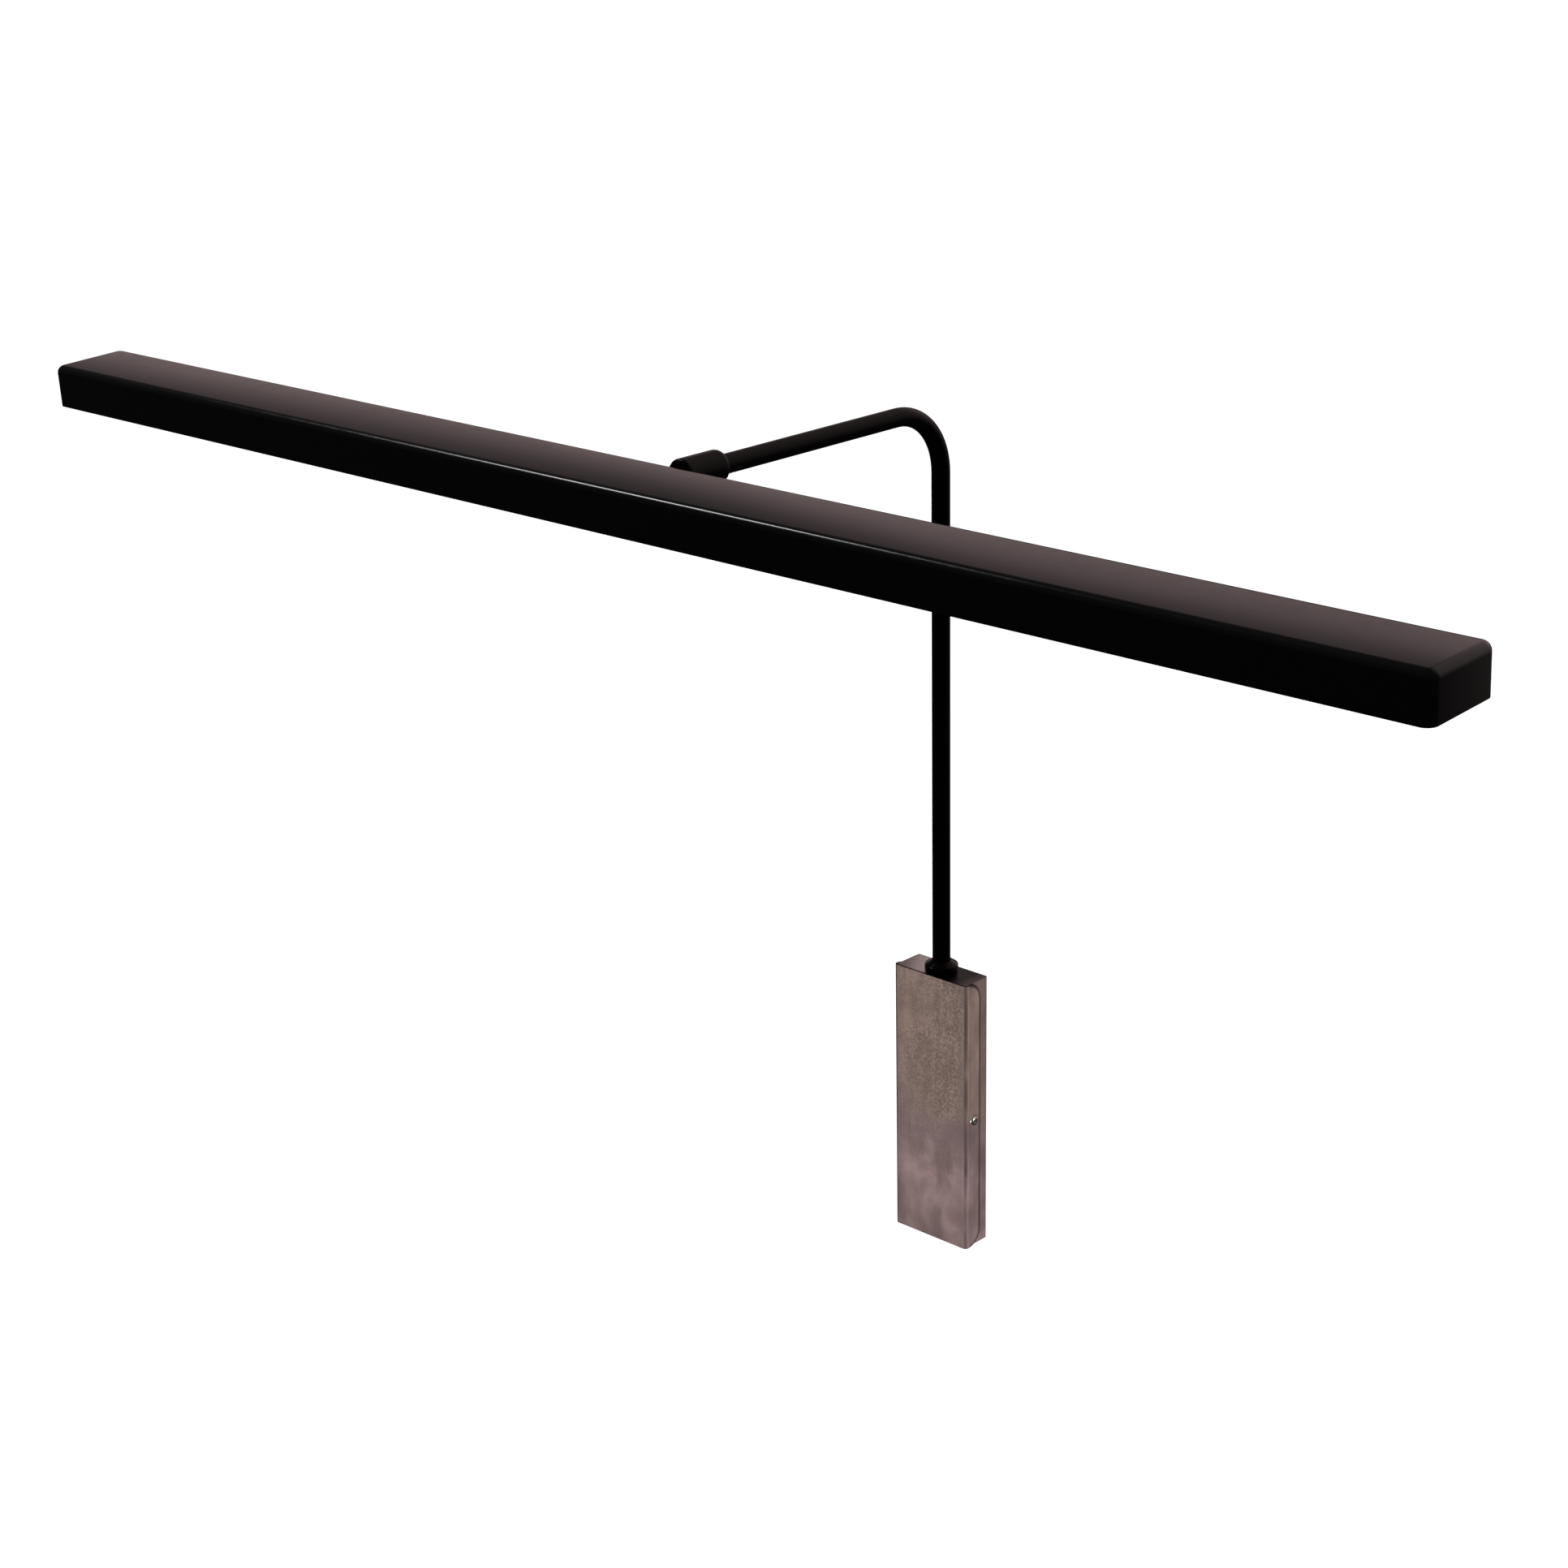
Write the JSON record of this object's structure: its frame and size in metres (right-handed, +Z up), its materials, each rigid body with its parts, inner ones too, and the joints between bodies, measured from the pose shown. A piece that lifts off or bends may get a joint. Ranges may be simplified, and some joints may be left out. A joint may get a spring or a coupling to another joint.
{
  "type": "picture light",
  "caption": "Wall picture light: a long slim shade tilts and swings on a bent tube arm that stands in a collar on a flat sheet-steel wiring box.",
  "frame": {"origin": "centre of the wiring box's back face, on the wall plane", "axes": "+X along the shade to the right, +Y into the wall, -Y out to the front, +Z up"},
  "size_m": [0.9144, 0.26, 0.503],
  "materials": {
    "zinc_steel": "bare galvanised sheet, blotchy and dull",
    "bright_zinc": "bright zinc plate",
    "black_rubber": "matt moulded rubber",
    "dark_bronze": "glossy dark bronze",
    "nylon": "natural nylon",
    "brass": "turned brass",
    "black_screw": "black oxide",
    "grey_foam": "soft grey pad",
    "driver_case": "moulded white case",
    "wire_black": "insulated wire",
    "wire_red": "insulated wire",
    "wire_white": "insulated wire",
    "wire_green": "insulated wire",
    "connector_clear": "moulded connector",
    "connector_white": "moulded terminal block",
    "black_satin": "satin black paint",
    "shade_black": "satin black paint with a faint warm tone",
    "white_tray": "white reflective paint",
    "board_white": "white solder mask on aluminium",
    "led_phosphor": "phosphor-filled emitter",
    "frosted_lens": "frosted acrylic sheet"
  },
  "bodies": {
    "wiring_box": {"back_box": "zinc_steel", "box_cover": "zinc_steel", "cover_screws": "bright_zinc", "clinch_nuts": "bright_zinc", "cable_bushing": "black_rubber", "collar_hub": "dark_bronze", "collar_cap": "dark_bronze", "swivel_washer": "nylon", "swivel_stop_pin": "bright_zinc", "collar_locknut": "brass", "collar_lock_washer": "bright_zinc", "driver_pad": "grey_foam", "led_driver": "driver_case", "driver_lead_black": "wire_black", "driver_lead_red": "wire_red", "wire_connectors": "connector_clear", "supply_tail_white": "wire_white", "supply_tail_black": "wire_black", "earth_stud": "bright_zinc", "earth_lug": "bright_zinc", "earth_nut": "bright_zinc", "earth_wire": "wire_green"},
    "arm": {"arm_tube": "black_satin", "tube_stop_ring": "brass", "tube_end_bushing": "nylon", "arm_lead_black": "wire_black", "arm_lead_red": "wire_red", "knuckle_barrel": "black_satin", "barrel_set_screw": "black_screw", "swivel_fork": "brass", "pivot_screw": "black_screw", "pivot_nut": "black_screw", "friction_washers": "nylon"},
    "head": {"swivel_tongue": "brass", "tongue_screws": "black_screw", "shade": "shade_black", "tray_studs": "bright_zinc", "tray_nuts": "bright_zinc", "reflector_tray": "white_tray", "led_board_left": "board_white", "led_board_right": "board_white", "thermal_pads": "grey_foam", "led_emitters": "led_phosphor", "board_screws": "bright_zinc", "diffuser_lens": "frosted_lens", "tray_end_plates": "white_tray", "end_plate_screws": "bright_zinc", "terminal_block": "connector_white", "head_lead_black": "wire_black", "head_lead_red": "wire_red"}
  },
  "joints": [
    {"name": "arm_swivel", "type": "hinge", "parent": "wiring_box", "child": "arm", "pos_m": [0, -0.01035, 0.087], "axis": [0, 0, 1], "range_deg": [-20, 20]},
    {"name": "shade_tilt", "type": "hinge", "parent": "arm", "child": "head", "pos_m": [0, -0.20135, 0.4114], "axis": [1, 0, 0], "range_deg": [-18, 72]}
  ]
}
